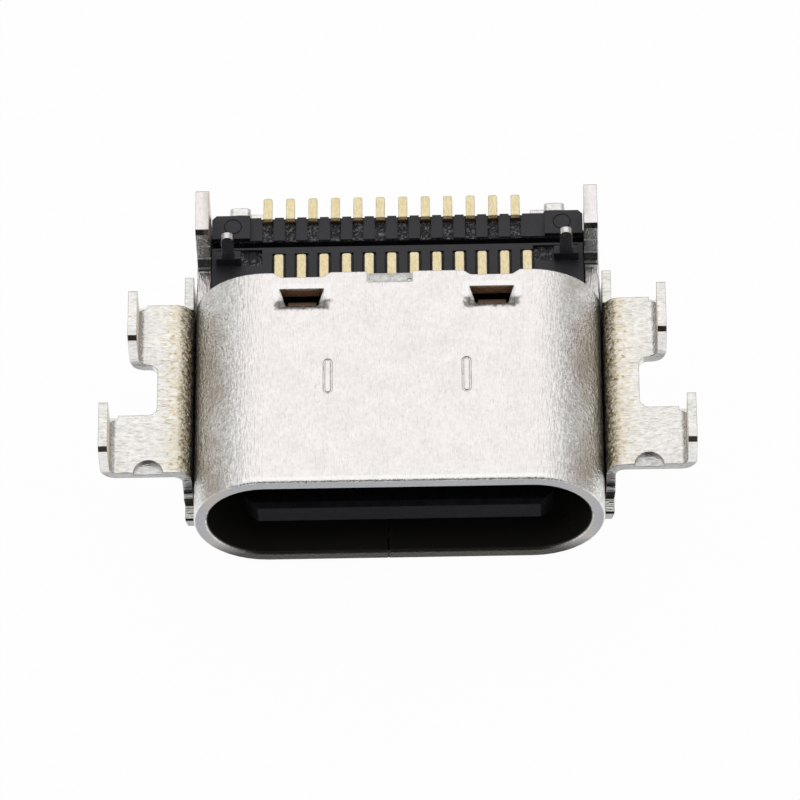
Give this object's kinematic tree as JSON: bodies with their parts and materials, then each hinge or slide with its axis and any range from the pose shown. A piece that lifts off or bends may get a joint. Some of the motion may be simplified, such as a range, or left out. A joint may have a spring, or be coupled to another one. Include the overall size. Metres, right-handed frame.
{
  "type": "usb-c socket",
  "caption": "Reversible plug socket for a circuit board: oval steel shell, folded bracket with upright legs, black housing and two rows of gold tails.",
  "frame": {"origin": "centre of the mouth, on the plug's axis", "axes": "+Y into the socket towards the tails, +Z to the board side, +X across the mouth"},
  "size_m": [0.013, 0.0081, 0.0034],
  "materials": {
    "shell_steel": "satin nickel over stainless sheet, fine grain on the flats, orange peel on the rounds",
    "bracket_steel": "satin nickel plate, coarse rolled grain, warm at the bends",
    "plate_steel": "bright stamped stainless",
    "black_moulding": "glass-filled black moulding with rough pockets",
    "gold": "gold plate over copper alloy, matte solder faces"
  },
  "bodies": {
    "root": {"shell": "shell_steel", "bracket": "bracket_steel", "mid_plate": "plate_steel", "tongue": "black_moulding", "front_block": "black_moulding", "rear_block": "black_moulding", "board_side_pad": "plate_steel", "far_side_pad": "plate_steel", "front_contact_1": "gold", "front_contact_2": "gold", "front_contact_3": "gold", "front_contact_4": "gold", "front_contact_5": "gold", "front_contact_6": "gold", "front_contact_7": "gold", "front_contact_8": "gold", "front_contact_9": "gold", "front_contact_10": "gold", "front_contact_11": "gold", "front_contact_12": "gold", "rear_contact_1": "gold", "rear_contact_2": "gold", "rear_contact_3": "gold", "rear_contact_4": "gold", "rear_contact_5": "gold", "rear_contact_6": "gold", "rear_contact_7": "gold", "rear_contact_8": "gold", "rear_contact_9": "gold", "rear_contact_10": "gold", "rear_contact_11": "gold", "rear_contact_12": "gold"}
  },
  "joints": []
}
